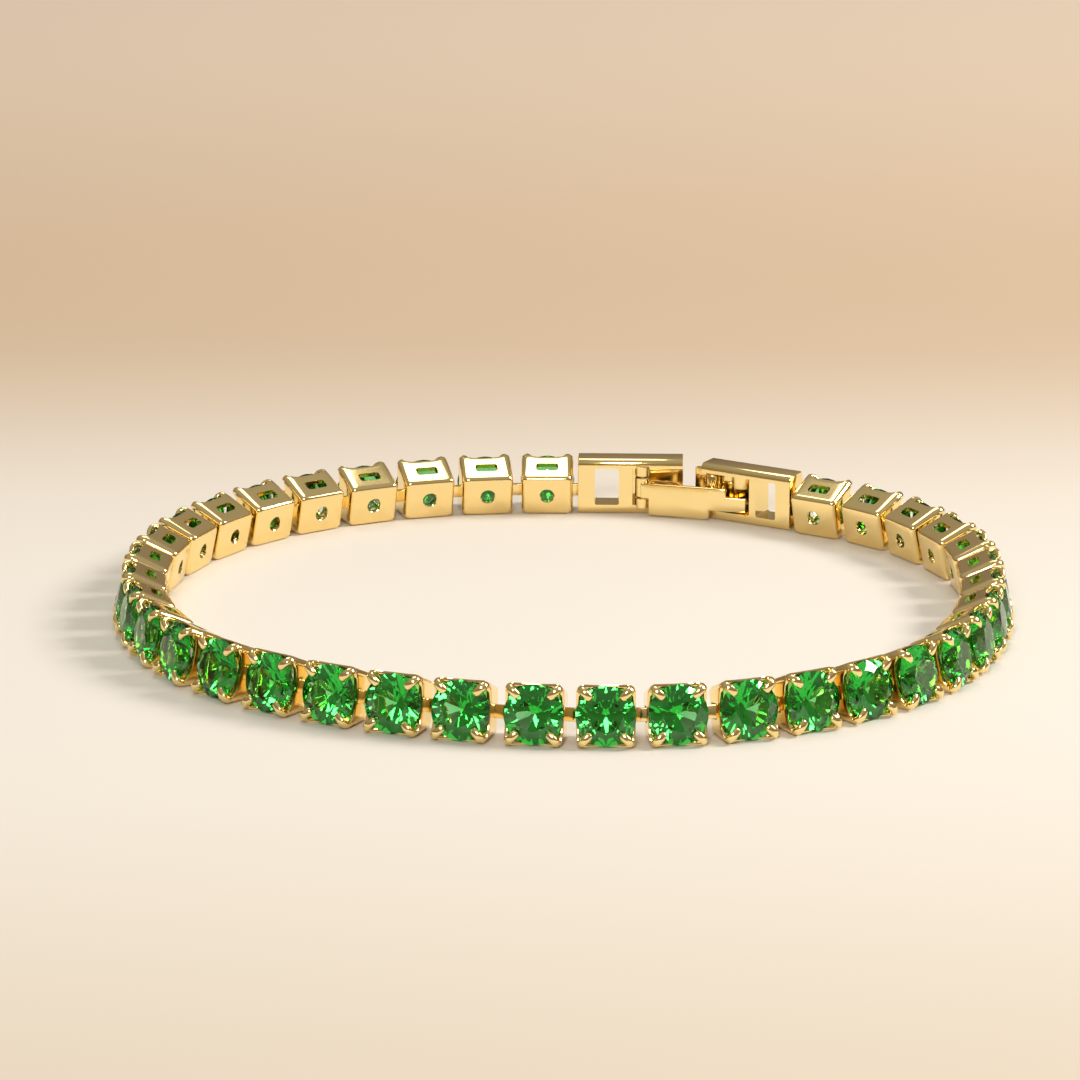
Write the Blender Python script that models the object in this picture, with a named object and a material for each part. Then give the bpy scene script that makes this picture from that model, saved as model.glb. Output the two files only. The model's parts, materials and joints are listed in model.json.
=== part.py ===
"""A line bracelet of round green stones, standing on its edge as a closed loop.

Thirty-six square baskets each hold one round brilliant between four prongs. A flat tongue
on each basket passes through a slot in the next one and ends in a T that can't slip out.
The two ends meet in a fold-over clasp: a catch frame, a hinge frame, a lever and its pin.

Every piece is modelled in one local frame: x runs along the chain, y is up, and z points
out of the loop. The line z = 0, y = 0 is the line of the tongues, which is the line that
the chain bends along. The clasp stands upright, and each link leans inwards, because its
basket rests flat on its sloping lower wall. Lengths are in metres.
"""

import math

import bmesh
import bpy
from mathutils import Matrix, Vector

# The chain
LINK_COUNT = 36
LINK_PITCH = 0.00455
CLASP_GAP = 0.00035  # between a frame of the clasp and the basket beside it

# The stone, a round brilliant
STONE_DIAMETER = 0.0040
STONE_TABLE_SHARE = 0.56
STONE_CROWN_HEIGHT = 0.00060
STONE_PAVILION_DEPTH = 0.00170
TABLE_SIDES = 8

# The basket that holds it
BASKET_LENGTH = 0.0039
BASKET_HEIGHT = 0.0042
BASKET_DEPTH = 0.0026
BASKET_LINE = 0.00110  # from the back plate's face to the line of the tongues
BASKET_WALL = 0.00032
BACK_THICKNESS = 0.00035
SEAT_THICKNESS = 0.00045
SHOULDER_DEPTH = 0.00038
SHOULDER_LENGTH = 0.0038
SHOULDER_HEIGHT = 0.0032
BACK_LENGTH = 0.0033
BACK_HEIGHT = 0.0027
CORNER_CUT = 0.00035
BACK_HOLE_DIAMETER = 0.0010
BACK_HOLE_SIDES = 8
WINDOW_LENGTH = 0.00165
WINDOW_WIDTH = 0.00080
WINDOW_CENTRE = 0.00125  # from the back plate's face

# The prongs, each as wide as the basket's cut corner
PRONG_THICKNESS = 0.00040
PRONG_SHOULDER = 0.00038  # how high the prong stands before it bends over the crown
PRONG_REACH = 0.00092  # how far the tip comes in from the corner
PRONG_TIP_SHARE = 0.72
PRONG_TIP_THICKNESS = 0.00034
PRONG_BITE = 0.00006  # how far the tip sinks into the crown
PRONG_LEAN = 0.00008  # how far the outer edge comes in by the bend
PRONG_INNER_LEAN = 0.00046  # and the inner edge
PRONG_INNER_RISE = 0.00011  # how high the inner edge stands at the bend

# The tongue and the slot that it passes through
TONGUE_HEIGHT = 0.00090
TONGUE_THICKNESS = 0.00030
TONGUE_REACH = 0.00065  # how far the neck runs past the next piece's face
TONGUE_HEAD_HEIGHT = 0.0015
TONGUE_HEAD_LENGTH = 0.00032
SLOT_CLEARANCE = 0.00010
SLOT_SWING = 0.00020  # extra width on each side for the bend of the chain

# The clasp's two end frames
FRAME_HEIGHT = 0.0042
FRAME_DEPTH = 0.0020
FRAME_RAIL = 0.00070
FRAME_BEVEL = 0.00020
CATCH_LENGTH = 0.0075
CATCH_UPRIGHT = 0.00120
CATCH_WINDOW = 0.00165
CHAMBER_SWING = 0.00010  # room on each side of the tongue in the catch frame
CATCH_POST_UPRIGHT = 0.00055
CATCH_TURN = math.radians(-16)  # from the lever's direction to the catch frame's
HINGE_FRAME_LENGTH = 0.0078
HINGE_UPRIGHT = 0.00125
HINGE_WINDOW = 0.0018
HINGE_PIN_UPRIGHT = 0.00100
HINGE_TURN = math.radians(13)  # from the lever's direction to the hinge frame's
COVER_THICKNESS = 0.00035
SILL_LENGTH = 0.0012  # the strip that closes the gap between the two frames
SILL_THICKNESS = 0.00035
SILL_ROOT = 0.0022  # how far back from the catch frame's end it starts
CLASP_CLEARANCE = 0.00006
LEVER_FRAME_GAP = 0.00015

# The lever, its barrel and the pin that it turns on
LEVER_THICKNESS = 0.00035
LEVER_HEIGHT = 0.0024
LEVER_RISE = 0.00010  # from the surface up to the plate's lower edge
LEVER_STEP = 0.0013  # the last of the plate, whose lower edge steps up between the rails
LEVER_END = 0.00030  # from the lip to the end of the plate's full height
TAB_LENGTH = 0.0015
TAB_HEIGHT = 0.0011
LIP_THICKNESS = 0.00035
LIP_RISE = 0.00085
LIP_RAIL_GAP = 0.00040
LEAF_THICKNESS = 0.00030
LEAF_REACH = 0.0022
LEAF_STEPS = 5
BARREL_DIAMETER = 0.0011
BARREL_SIDES = 10
BARREL_FRAME_GAP = 0.00020
LUG_LENGTH = 0.00060
LUG_ROOT = 0.00023  # how deep each lug and its bore run into the rail
PIN_DIAMETER = 0.00045
PIN_CLEARANCE = 0.00003
PIN_SIDES = 8
PIN_TO_POST = 0.0052

# The catch's post, which the lever's lip holds, and the round stop above the lever's tab
POST_DIAMETER = 0.0011
POST_SIDES = 10
POST_DOME = 0.00028
POST_BELOW_SILL = 0.00046  # from the sill's lower face to the post's axis
DOME_STEPS = [(0.35, 0.8), (0.0, 0.4)]  # columns: share of the dome above, of the radius
STOP_DIAMETER = 0.0016
STOP_TO_UPRIGHT = 0.00020
STOP_ROOT = 0.00035  # how deep the stop runs into the rail
STOP_HANG = 0.00095  # and how far it hangs below it

# The chain lies on a smooth closed curve through these points, seen from above. Only its
# form counts: it is scaled until the links and the clasp close on it. The first point is
# the clasp's hinge end, and the curve runs anticlockwise.
ROUTE = [
    (0.0009, 0.0274),
    (-0.0080, 0.0269),
    (-0.0165, 0.0237),
    (-0.0232, 0.0181),
    (-0.0276, 0.0103),
    (-0.0291, 0.0012),
    (-0.0278, -0.0078),
    (-0.0237, -0.0159),
    (-0.0167, -0.0220),
    (-0.0085, -0.0258),
    (0.0005, -0.0276),
    (0.0096, -0.0269),
    (0.0175, -0.0233),
    (0.0238, -0.0172),
    (0.0275, -0.0091),
    (0.0288, 0.0000),
    (0.0279, 0.0090),
    (0.0238, 0.0169),
    (0.0206, 0.0200),
    (0.0168, 0.0224),
    (0.0090, 0.0255),
]
ROUTE_STEPS = 60

# Joints that lie a little open or closed. Columns: link before the joint, added gap.
JOINT_PLAY = [
    (14, 0.00010),
    (15, 0.00010),
    (16, 0.00006),
    (19, 0.00018),
    (23, -0.00012),
    (24, -0.00012),
    (25, -0.00008),
]

ROUND_ANGLE = math.radians(40)  # edges flatter than this belong to a round surface

GOLD = (0.86, 0.62, 0.27, 1.0)
GREEN = (0.01, 0.30, 0.09, 1.0)


def clear_scene():
    for old in list(bpy.data.objects):
        bpy.data.objects.remove(old)


def metal_and_stone():
    gold = bpy.data.materials.new("gold_plate")
    gold.use_nodes = True
    shader = gold.node_tree.nodes["Principled BSDF"]
    shader.inputs["Base Color"].default_value = GOLD
    shader.inputs["Metallic"].default_value = 1.0
    shader.inputs["Roughness"].default_value = 0.18
    green = bpy.data.materials.new("green_stone")
    green.use_nodes = True
    shader = green.node_tree.nodes["Principled BSDF"]
    shader.inputs["Base Color"].default_value = GREEN
    shader.inputs["Roughness"].default_value = 0.02
    shader.inputs["IOR"].default_value = 2.1
    return gold, green


# Solids and how they are joined


def add_solid(name, points, faces, material):
    """A closed mesh as an object, with its faces turned outwards."""
    mesh = bpy.data.meshes.new(name)
    mesh.from_pydata([tuple(p) for p in points], [], faces)
    shape = bmesh.new()
    shape.from_mesh(mesh)
    bmesh.ops.recalc_face_normals(shape, faces=shape.faces)
    shape.to_mesh(mesh)
    shape.free()
    mesh.materials.append(material)
    solid = bpy.data.objects.new(name, mesh)
    bpy.context.scene.collection.objects.link(solid)
    return solid


def loft(name, rings, material):
    """Joins rings of equally many points, and closes the first and the last."""
    count = len(rings[0])
    points = [p for ring in rings for p in ring]
    faces = [list(range(count)), list(range(len(points) - count, len(points)))]
    for first in range(0, len(points) - count, count):
        for k in range(count):
            after = (k + 1) % count
            faces.append([first + k, first + after, first + count + after, first + count + k])
    return add_solid(name, points, faces, material)


def box(name, low, high, material):
    (x0, y0, z0), (x1, y1, z1) = low, high
    rings = [[(x0, y0, z), (x1, y0, z), (x1, y1, z), (x0, y1, z)] for z in (z0, z1)]
    return loft(name, rings, material)


def post(name, centre, diameter, ends, sides, material, dome=0.0):
    """An upright round bar, from ends[0] to ends[1] along y. A dome rounds its upper end."""
    x, z = centre
    levels = [(ends[0], 1.0), (ends[1] - dome, 1.0)]
    if dome:
        levels += [(ends[1] - above * dome, share) for above, share in DOME_STEPS]
    rings = []
    for y, share in levels:
        turns = [2 * math.pi * (k + 0.5) / sides for k in range(sides)]
        reach = share * diameter / 2
        rings.append([(x + reach * math.cos(a), y, z + reach * math.sin(a)) for a in turns])
    return loft(name, rings, material)


def combine(base, operation, *tools):
    """Joins each tool to the base, or cuts it away, and leaves one plain mesh."""
    for tool in tools:
        step = base.modifiers.new(operation.lower(), "BOOLEAN")
        step.operation = operation
        step.solver = "EXACT"
        step.material_mode = "TRANSFER"
        step.object = tool
    graph = bpy.context.evaluated_depsgraph_get()
    mesh = bpy.data.meshes.new_from_object(base.evaluated_get(graph))
    base.modifiers.clear()
    base.data = mesh
    for tool in tools:
        bpy.data.objects.remove(tool)
    shape = bmesh.new()
    shape.from_mesh(mesh)
    bmesh.ops.dissolve_limit(
        shape, angle_limit=math.radians(0.1), verts=shape.verts, edges=shape.edges,
        delimit={"MATERIAL"},
    )
    shape.to_mesh(mesh)
    shape.free()
    return base


def cut_rectangle(length, height, cut, z):
    """A rectangle with its corners cut off, as eight points at one depth."""
    x, y = length / 2, height / 2
    return [
        (x, y - cut, z), (x - cut, y, z), (cut - x, y, z), (-x, y - cut, z),
        (-x, cut - y, z), (cut - x, -y, z), (x - cut, -y, z), (x, cut - y, z),
    ]


# One link: a basket, its stone and its tongue


def rim_level():
    return BASKET_DEPTH - BASKET_LINE


def link_gap():
    return LINK_PITCH - BASKET_LENGTH


def back_level():
    return -BASKET_LINE


def shoulder_level():
    return back_level() + SHOULDER_DEPTH


def wall_lean():
    """The slope of the basket's lower wall, which is how far a resting link leans inwards."""
    return math.atan2((BASKET_HEIGHT - SHOULDER_HEIGHT) / 2, rim_level() - shoulder_level())


def tongue_height():
    """How high the line of the tongues runs in a link that rests on its lower wall."""
    lean = wall_lean()
    return SHOULDER_HEIGHT / 2 * math.cos(lean) - shoulder_level() * math.sin(lean)


def round_brilliant(material):
    """The stone, its girdle level with the basket's rim."""
    radius = STONE_DIAMETER / 2
    girdle = rim_level()

    def ring(reach, level, sides):
        angles = [2 * math.pi * k / sides for k in range(sides)]
        return [(reach * math.cos(a), reach * math.sin(a), level) for a in angles]

    girdle_sides = 2 * TABLE_SIDES
    points = ring(STONE_TABLE_SHARE * radius, girdle + STONE_CROWN_HEIGHT, TABLE_SIDES)
    points += ring(radius, girdle, girdle_sides)
    points.append((0.0, 0.0, girdle - STONE_PAVILION_DEPTH))
    culet = len(points) - 1
    faces = [list(range(TABLE_SIDES))]
    for k in range(TABLE_SIDES):
        after = (k + 1) % TABLE_SIDES
        first, middle, last = (TABLE_SIDES + (2 * k + j) % girdle_sides for j in range(3))
        faces.append([k, first, middle])
        faces.append([k, middle, after])
        faces.append([after, middle, last])
    for k in range(girdle_sides):
        after = (k + 1) % girdle_sides
        faces.append([TABLE_SIDES + k, TABLE_SIDES + after, culet])
    return add_solid("stone", points, faces, material)


def prong(side_x, side_y, material):
    """A bar that rises from a cut corner of the basket and bends over the stone's crown."""
    cut = Vector((side_x * CORNER_CUT / 2, side_y * CORNER_CUT / 2))
    corner = Vector((side_x * BASKET_LENGTH / 2, side_y * BASKET_HEIGHT / 2)) - cut
    inward = Vector((-side_x, -side_y)).normalized()
    across = Vector((-inward.y, inward.x))
    rim = rim_level()
    radius = STONE_DIAMETER / 2
    tip_radius = (corner + inward * PRONG_REACH).length
    crown_slope = STONE_CROWN_HEIGHT / (radius * (1 - STONE_TABLE_SHARE))
    crown = rim + crown_slope * (radius - tip_radius)
    width = math.sqrt(2) * CORNER_CUT
    # Columns: share of the width, then reach inwards and level of the outer and inner edge.
    stations = [
        (1.0, 0.0, rim, PRONG_THICKNESS, rim),
        (1.0, PRONG_LEAN, rim + PRONG_SHOULDER, PRONG_INNER_LEAN, rim + PRONG_INNER_RISE),
        (PRONG_TIP_SHARE, PRONG_REACH, crown + PRONG_TIP_THICKNESS,
         PRONG_REACH, crown - PRONG_BITE),
    ]
    rings = []
    for share, outer, outer_level, inner, inner_level in stations:
        half = across * (share * width / 2)
        rings.append([
            (*(corner + inward * reach + side * half), level)
            for reach, level, side in (
                (outer, outer_level, 1), (inner, inner_level, 1),
                (inner, inner_level, -1), (outer, outer_level, -1),
            )
        ])
    return loft("prong", rings, material)


def tongue(root, face, gap, material):
    """The flat T that hooks this piece to the next. Root is the x where it starts inside the
    metal, face that of this piece's end, and gap the space up to the next piece's face."""
    high, thick = TONGUE_HEIGHT / 2, TONGUE_THICKNESS / 2
    neck_end = face + gap + TONGUE_REACH
    head_end = neck_end + TONGUE_HEAD_LENGTH
    head = TONGUE_HEAD_HEIGHT / 2
    outline = [(root, -high), (neck_end, -high), (neck_end, -head), (head_end, -head),
               (head_end, head), (neck_end, head), (neck_end, high), (root, high)]
    rings = [[(x, y, z) for x, y in outline] for z in (-thick, thick)]
    return loft("tongue", rings, material)


def slot(face, depth, material):
    """What a tongue needs cut away at the end face, from depth inside it to depth beyond."""
    high = TONGUE_HEIGHT / 2 + SLOT_CLEARANCE
    wide = TONGUE_THICKNESS / 2 + SLOT_CLEARANCE + SLOT_SWING
    return box("slot", (face - depth, -high, -wide), (face + depth, high, wide), material)


def stone_link(gold, green):
    """The mesh that all the links share."""
    back, shoulder, rim = back_level(), shoulder_level(), rim_level()
    outer = loft("link", [
        cut_rectangle(BACK_LENGTH, BACK_HEIGHT, CORNER_CUT, back),
        cut_rectangle(SHOULDER_LENGTH, SHOULDER_HEIGHT, CORNER_CUT, shoulder),
        cut_rectangle(BASKET_LENGTH, BASKET_HEIGHT, CORNER_CUT, rim),
    ], gold)
    floor = back + BACK_THICKNESS
    ceiling = rim - SEAT_THICKNESS
    slope = (BASKET_HEIGHT - SHOULDER_HEIGHT) / (rim - shoulder)
    inside_x = SHOULDER_LENGTH / 2 - BASKET_WALL
    inside_y = [SHOULDER_HEIGHT / 2 - BASKET_WALL - (shoulder - floor) * slope / 2,
                SHOULDER_HEIGHT / 2 - BASKET_WALL + (ceiling - shoulder) * slope / 2]
    cavity = loft("cavity", [
        [(inside_x, y, z), (-inside_x, y, z), (-inside_x, -y, z), (inside_x, -y, z)]
        for y, z in zip(inside_y, (floor, ceiling))
    ], gold)
    half_hole = BACK_HOLE_DIAMETER / 2
    turns = [2 * math.pi * k / BACK_HOLE_SIDES for k in range(BACK_HOLE_SIDES)]
    hole = loft("hole", [
        [(half_hole * math.cos(a), half_hole * math.sin(a), z) for a in turns]
        for z in (back - BACK_THICKNESS, floor + BACK_THICKNESS)
    ], gold)
    centre = back + WINDOW_CENTRE
    windows = box("windows", (-WINDOW_LENGTH / 2, -BASKET_HEIGHT, centre - WINDOW_WIDTH / 2),
                  (WINDOW_LENGTH / 2, BASKET_HEIGHT, centre + WINDOW_WIDTH / 2), gold)
    lean = (BASKET_LENGTH - SHOULDER_LENGTH) / 2
    entry = slot(-BASKET_LENGTH / 2, lean + 2 * BASKET_WALL, gold)
    combine(outer, "DIFFERENCE", cavity, hole, windows, entry)
    corners = [(1, 1), (-1, 1), (-1, -1), (1, -1)]
    prongs = [prong(side_x, side_y, gold) for side_x, side_y in corners]
    in_wall = (SHOULDER_LENGTH - BASKET_WALL) / 2
    neck = tongue(in_wall, BASKET_LENGTH / 2, link_gap(), gold)
    combine(outer, "UNION", neck, *prongs, round_brilliant(green))
    return outer


# The clasp. Each frame has its own local frame, whose origin is the joint with the link
# beside it. The lever's local frame has its origin on the hinge pin.


def frame_back():
    return back_level() + LEVER_THICKNESS + LEVER_FRAME_GAP


def cover_level():
    return frame_back() + FRAME_DEPTH


def rail_inside():
    return FRAME_HEIGHT / 2 - FRAME_RAIL


def meet_link(piece):
    """Lowers and leans a tongue, or a cutter for one, as the link beside the clasp lies."""
    drop = FRAME_HEIGHT / 2 - tongue_height()
    piece.data.transform(Matrix.Translation((0.0, -drop, 0.0))
                         @ Matrix.Rotation(-wall_lean(), 4, "X"))
    return piece


def channel(name, start, end, material):
    """A bar of the frames' section, its four long edges bevelled."""
    low, high, bevel = frame_back(), cover_level(), FRAME_BEVEL
    y = FRAME_HEIGHT / 2
    outline = [(y, low + bevel), (y, high - bevel), (y - bevel, high), (bevel - y, high),
               (-y, high - bevel), (-y, low + bevel), (bevel - y, low), (y - bevel, low)]
    return loft(name, [[(x, a, b) for a, b in outline] for x in (start, end)], material)


def cut_through(name, start, end, material, beyond=True):
    """A cutter between the rails: a window right through, or a trough under the cover."""
    inside = rail_inside()
    top = cover_level() + FRAME_BEVEL if beyond else cover_level() - COVER_THICKNESS
    return box(name, (start, -inside, frame_back() - FRAME_BEVEL), (end, inside, top), material)


def sill_levels():
    """The z of the sill's two faces, just inside the cover."""
    top = cover_level() - COVER_THICKNESS
    return top - SILL_THICKNESS, top


def post_place():
    """The x and z of the catch's post, in the catch frame. It stands under the sill."""
    x = CLASP_GAP / 2 + CATCH_LENGTH - POST_DIAMETER / 2
    return x, sill_levels()[0] - POST_BELOW_SILL


def pin_in_hinge_frame():
    """The x and z of the hinge pin's axis, in the hinge frame."""
    to_upright = CLASP_GAP / 2 + HINGE_UPRIGHT + HINGE_WINDOW + HINGE_PIN_UPRIGHT
    x = -(to_upright + BARREL_FRAME_GAP + BARREL_DIAMETER / 2)
    return x, back_level() + lever_drop() + LEVER_THICKNESS


def lever_drop():
    """From the hinge pin's axis to the near face of the lever's plate."""
    return (BARREL_DIAMETER - LEVER_THICKNESS) / 2


def catch_frame(gold):
    """The last link's end: an open frame, and a channel that holds the post and the stop."""
    start = CLASP_GAP / 2
    end = start + CATCH_LENGTH
    window = start + CATCH_UPRIGHT
    upright = window + CATCH_WINDOW
    behind = upright + CATCH_POST_UPRIGHT
    frame = channel("catch_frame", start, end, gold)
    chamber_high = TONGUE_HEAD_HEIGHT / 2 + SLOT_CLEARANCE
    chamber_wide = TONGUE_THICKNESS / 2 + SLOT_CLEARANCE + CHAMBER_SWING
    chamber = box("chamber", (start + BASKET_WALL, -chamber_high, -chamber_wide),
                  (window + FRAME_BEVEL, chamber_high, chamber_wide), gold)
    combine(frame, "DIFFERENCE", cut_through("window", window, upright, gold),
            cut_through("trough", behind, end + FRAME_BEVEL, gold, beyond=False),
            meet_link(chamber), meet_link(slot(start, 2 * BASKET_WALL, gold)))
    lip = rail_inside() - CLASP_CLEARANCE
    low, top = sill_levels()
    sill = box("sill", (end - SILL_ROOT, -lip, low),
               (end + SILL_LENGTH, lip, top + COVER_THICKNESS / 2), gold)
    bar = post("bar", post_place(), POST_DIAMETER, (-lip, lip), POST_SIDES, gold,
               dome=POST_DOME)
    radius = STOP_DIAMETER / 2
    stop_end = rail_inside() - STOP_HANG
    stop = post("stop", (behind + STOP_TO_UPRIGHT + radius, frame_back() + radius),
                STOP_DIAMETER, (stop_end, rail_inside() + STOP_ROOT), POST_SIDES, gold)
    seat = box("seat", (behind - CATCH_POST_UPRIGHT / 2, stop_end, frame_back() + radius),
               (behind + STOP_TO_UPRIGHT + radius, rail_inside() + STOP_ROOT,
                frame_back() + STOP_DIAMETER), gold)
    return combine(frame, "UNION", sill, bar, stop, seat)


def lug_ends():
    """The heights between which each hinge lug of the frame stands."""
    return rail_inside() - LUG_LENGTH, rail_inside() + LUG_ROOT


def hinge_frame(gold):
    """The first link's end: an open frame, a channel and the lugs that carry the pin."""
    end = -CLASP_GAP / 2
    start = end - HINGE_FRAME_LENGTH
    window = end - HINGE_UPRIGHT
    upright = window - HINGE_WINDOW
    behind = upright - HINGE_PIN_UPRIGHT
    frame = channel("hinge_frame", start, end, gold)
    combine(frame, "DIFFERENCE", cut_through("window", upright, window, gold),
            cut_through("trough", start - FRAME_BEVEL, behind, gold, beyond=False))
    low, high = lug_ends()
    lugs = [post("lug", pin_in_hinge_frame(), BARREL_DIAMETER, span, BARREL_SIDES, gold)
            for span in ((low, high), (-high, -low))]
    neck = tongue(end - HINGE_UPRIGHT / 2, end, CLASP_GAP, gold)
    combine(frame, "UNION", *lugs, meet_link(neck))
    bore = post("bore", pin_in_hinge_frame(), PIN_DIAMETER + 2 * PIN_CLEARANCE,
                (-high, high), PIN_SIDES, gold)
    return combine(frame, "DIFFERENCE", bore)


def hinge_pin(gold):
    high = rail_inside() - PIN_CLEARANCE
    return post("hinge_pin", (0.0, 0.0), PIN_DIAMETER, (-high, high), PIN_SIDES, gold)


def clasp_lever(gold):
    """The fold-over plate, its barrel, the lip that holds the post and the spring leaf."""
    face = -lever_drop()
    back = face - LEVER_THICKNESS
    low = LEVER_RISE - FRAME_HEIGHT / 2
    high = low + LEVER_HEIGHT
    tab_low = CLASP_CLEARANCE - rail_inside()
    lip_end = -PIN_TO_POST - POST_DIAMETER / 2 - 2 * CLASP_CLEARANCE
    end = lip_end - LIP_THICKNESS - LEVER_END
    lever = box("clasp_lever", (end + LEVER_STEP, low, back), (0.0, high, face), gold)
    step = box("step", (end, tab_low, back),
               (end + LEVER_STEP + LEVER_THICKNESS, high, face), gold)
    tab = box("tab", (end - TAB_LENGTH, tab_low, back),
              (lip_end, tab_low + TAB_HEIGHT, face), gold)
    lip_low = LIP_RAIL_GAP - rail_inside()
    lip = box("lip", (lip_end - LIP_THICKNESS, lip_low, back + LEVER_THICKNESS / 2),
              (lip_end, high, face + LIP_RISE), gold)
    leaf_top = BARREL_DIAMETER / 2
    curl = leaf_top - LEAF_THICKNESS - face
    turns = [math.pi * (1 - k / (2 * LEAF_STEPS)) for k in range(LEAF_STEPS + 1)]
    outer, inner = (
        [(-LEAF_REACH - reach, face - LEVER_THICKNESS / 2)]
        + [(-LEAF_REACH + reach * math.cos(a), face + reach * math.sin(a)) for a in turns]
        + [(0.0, face + reach)]
        for reach in (curl + LEAF_THICKNESS, curl)
    )
    outline = outer + inner[::-1]
    leaf = loft("leaf", [[(x, y, z) for x, z in outline] for y in (lip_low, high)], gold)
    combine(lever, "UNION", step, tab, lip, leaf)
    barrel_high = lug_ends()[0] - CLASP_CLEARANCE
    room = BARREL_DIAMETER / 2 + CLASP_CLEARANCE
    notches = [
        box("notch", (-room, low, back - room), (room, top, room), gold)
        for low, top in ((barrel_high, LEVER_HEIGHT), (-LEVER_HEIGHT, -barrel_high))
    ]
    combine(lever, "DIFFERENCE", *notches)
    barrel = post("barrel", (0.0, 0.0), BARREL_DIAMETER, (-barrel_high, barrel_high),
                  BARREL_SIDES, gold)
    combine(lever, "UNION", barrel)
    bore = post("bore", (0.0, 0.0), PIN_DIAMETER + 2 * PIN_CLEARANCE,
                (-LEVER_HEIGHT, LEVER_HEIGHT), PIN_SIDES, gold)
    return combine(lever, "DIFFERENCE", bore)


def shade(mesh, green):
    """Round metal looks round, and the stone keeps its flat facets."""
    mesh.shade_smooth()
    mesh.set_sharp_from_angle(angle=ROUND_ANGLE)
    for face in mesh.polygons:
        if mesh.materials[face.material_index] == green:
            face.use_smooth = False


def move(x, z):
    return Matrix.Translation((x, 0.0, z))


def clasp_layout():
    """How the closed clasp lies: the length between its two end joints, and the matrix of each
    frame and of the lever, with x from the last link's joint to the first link's."""
    post_x, post_z = post_place()
    pin_x, pin_z = pin_in_hinge_frame()
    catch = (move(-PIN_TO_POST, post_z - pin_z) @ Matrix.Rotation(CATCH_TURN, 4, "Y")
             @ move(-post_x, -post_z))
    hinge = Matrix.Rotation(HINGE_TURN, 4, "Y") @ move(-pin_x, -pin_z)
    along = hinge.translation - catch.translation
    turn = Matrix.Rotation(math.atan2(-along.z, along.x), 4, "Y")
    to_chord = (Matrix.Translation(catch.translation) @ turn).inverted()
    return along.length, to_chord @ catch, to_chord @ hinge, to_chord


# The closed loop


def smooth_route():
    """Many points on the closed curve through ROUTE, as a Catmull-Rom spline."""
    count = len(ROUTE)
    knots = [Vector(p) for p in ROUTE]
    points = []
    for k in range(count):
        a, b, c, d = (knots[(k + j) % count] for j in (-1, 0, 1, 2))
        for step in range(ROUTE_STEPS):
            t = step / ROUTE_STEPS
            points.append(0.5 * (2 * b + (c - a) * t + (2 * a - 5 * b + 4 * c - d) * t ** 2
                                 + (3 * b - a - 3 * c + d) * t ** 3))
    return points


def walk(curve, scale, spans):
    """Points on the scaled curve, each one span straight from the one before, and the last
    of them. It starts at the curve's first point."""
    points = [p * scale for p in curve]
    found = [points[0]]
    at = 0
    for span in spans:
        while at < len(points) - 1 and (points[at] - found[-1]).length < span:
            at += 1
        before, after = points[at - 1], points[at]
        near, far = (before - found[-1]).length, (after - found[-1]).length
        share = (span - near) / max(far - near, 1e-12)
        found.append(before.lerp(after, share))
    return found


def joint_gaps():
    """The gap between baskets at every joint, from the clasp's hinge end to its catch end."""
    gaps = [CLASP_GAP] + [link_gap()] * (LINK_COUNT - 1) + [CLASP_GAP]
    for link, added in JOINT_PLAY:
        gaps[link] += added
    return gaps


def chain_joints(clasp_length):
    """Where the chain bends, seen from above, scaled so that the clasp closes the loop."""
    gaps = joint_gaps()
    spans = [BASKET_LENGTH + (gaps[k] + gaps[k + 1]) / 2 for k in range(LINK_COUNT)]
    curve = smooth_route()
    length = sum((b - a).length for a, b in zip(curve, curve[1:] + curve[:1]))
    nominal = (sum(spans) + clasp_length) / length
    low, high = 0.9 * nominal, 1.1 * nominal
    for _ in range(50):
        scale = (low + high) / 2
        joints = walk(curve, scale, spans)
        if (joints[-1] - joints[0]).length > clasp_length:
            high = scale
        else:
            low = scale
    return joints


def placing(start, end, offset, height, lean=0.0):
    """Turns the local frame so that x runs from start to end, with its origin offset along
    and at the given height. Lean tips its upper side inwards."""
    along = (end - start).normalized()
    x = Vector((along.x, along.y, 0.0))
    y = Vector((0.0, 0.0, 1.0))
    turn = Matrix((x, y, x.cross(y))).transposed().to_4x4()
    at = start + along * offset
    return Matrix.Translation((at.x, at.y, height)) @ turn @ Matrix.Rotation(-lean, 4, "X")


def centre_on_floor(pieces):
    """Parents all pieces to one empty, moved so that the loop is centred on the origin."""
    bpy.context.view_layer.update()
    corners = [p.matrix_world @ v.co for p in pieces for v in p.data.vertices]
    middle = [(min(c[k] for c in corners) + max(c[k] for c in corners)) / 2 for k in (0, 1)]
    bracelet = bpy.data.objects.new("bracelet", None)
    bpy.context.scene.collection.objects.link(bracelet)
    bracelet.location = (-middle[0], -middle[1], 0.0)
    for piece in pieces:
        piece.parent = bracelet


def build():
    clear_scene()
    gold, green = metal_and_stone()
    clasp_length, in_catch, in_hinge, in_lever = clasp_layout()
    joints = chain_joints(clasp_length)
    gaps = joint_gaps()
    pattern = stone_link(gold, green)
    shade(pattern.data, green)
    pieces = []
    for k in range(LINK_COUNT):
        name = f"stone_link_{k + 1:02d}"
        link = pattern if k == 0 else bpy.data.objects.new(name, pattern.data)
        link.name = name
        if k:
            bpy.context.scene.collection.objects.link(link)
        link.matrix_world = placing(joints[k], joints[k + 1], (gaps[k] + BASKET_LENGTH) / 2,
                                    tongue_height(), wall_lean())
        pieces.append(link)
    in_clasp = placing(joints[-1], joints[0], 0.0, FRAME_HEIGHT / 2)
    for make, place in ((catch_frame, in_catch), (hinge_frame, in_hinge),
                        (hinge_pin, in_lever), (clasp_lever, in_lever)):
        piece = make(gold)
        shade(piece.data, green)
        piece.matrix_world = in_clasp @ place
        pieces.append(piece)
    centre_on_floor(pieces)


build()
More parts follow.
